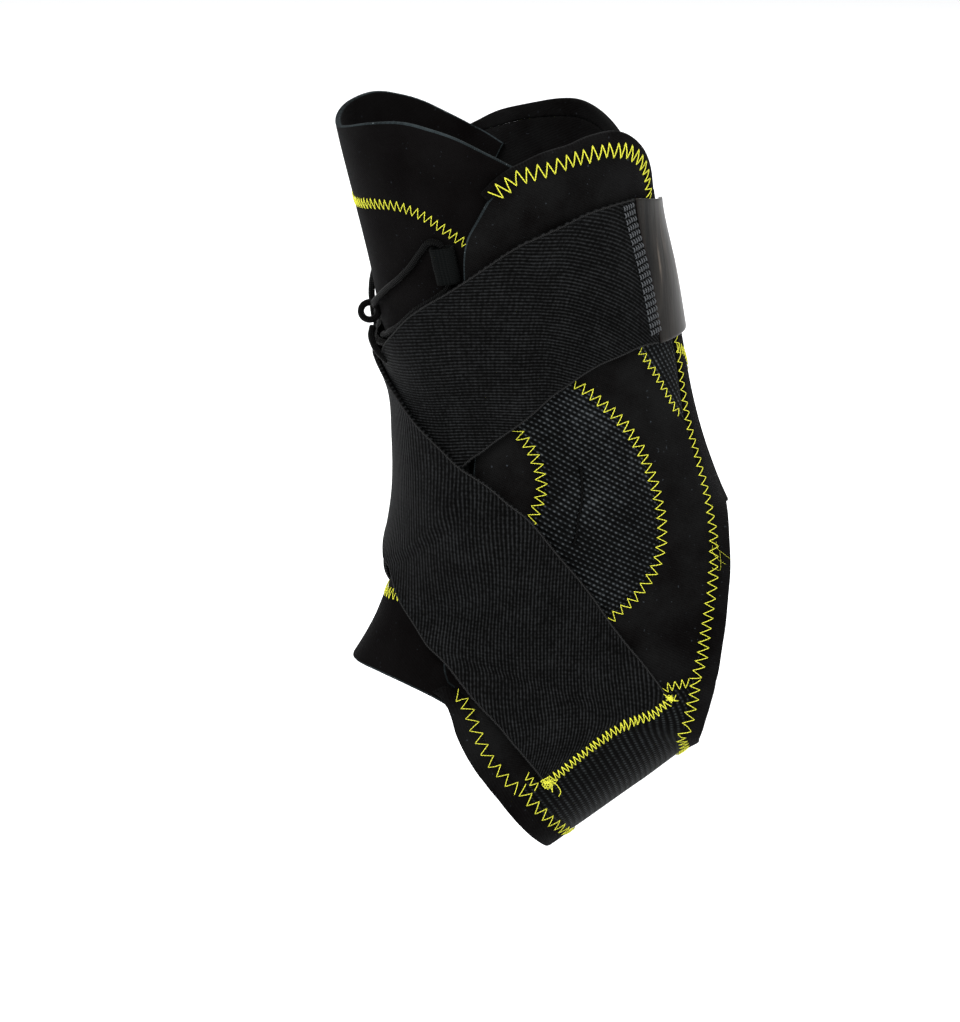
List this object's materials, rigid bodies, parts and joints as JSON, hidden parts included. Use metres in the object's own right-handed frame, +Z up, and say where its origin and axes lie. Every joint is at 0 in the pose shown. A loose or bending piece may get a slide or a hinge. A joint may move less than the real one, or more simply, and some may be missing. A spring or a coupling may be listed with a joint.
{
  "type": "ankle brace",
  "caption": "Soft lace-up ankle support in its worn shape, with an open heel, mesh panels and elastic straps crossed over the instep.",
  "frame": {"origin": "centre of the ankle, in the hollow that the leg fills", "axes": "+Z up along the leg, -X towards the toes, -Y towards the outer side of a left ankle"},
  "size_m": [0.1284, 0.0969, 0.2452],
  "materials": {
    "smooth_knit": "matte",
    "padded_knit": "matte",
    "open_mesh": "matte",
    "woven_elastic": "satin",
    "moulded_hook": "gloss",
    "lace_cord": "satin",
    "lace_ribbon": "satin"
  },
  "bodies": {
    "root": {"tongue_top": "smooth_knit", "tongue_middle": "smooth_knit", "tongue_toe": "smooth_knit", "back_panel": "padded_knit", "sole_mesh": "open_mesh", "foot_binding": "padded_knit", "lateral_strap": "woven_elastic", "medial_strap": "woven_elastic", "lace_over": "lace_cord", "lace_under": "lace_cord", "lace_knot": "lace_cord", "lace_bow": "lace_cord", "lateral_quarter": "padded_knit", "lateral_ankle_mesh": "open_mesh", "lateral_rear_mesh": "open_mesh", "lateral_edge_binding": "padded_knit", "lateral_hook_tab": "moulded_hook", "lateral_lace_loop_1": "lace_ribbon", "lateral_lace_loop_2": "lace_ribbon", "lateral_lace_loop_3": "lace_ribbon", "medial_quarter": "padded_knit", "medial_ankle_mesh": "open_mesh", "medial_rear_mesh": "open_mesh", "medial_edge_binding": "padded_knit", "medial_hook_tab": "moulded_hook", "medial_lace_loop_1": "lace_ribbon", "medial_lace_loop_2": "lace_ribbon", "medial_lace_loop_3": "lace_ribbon"}
  },
  "joints": []
}
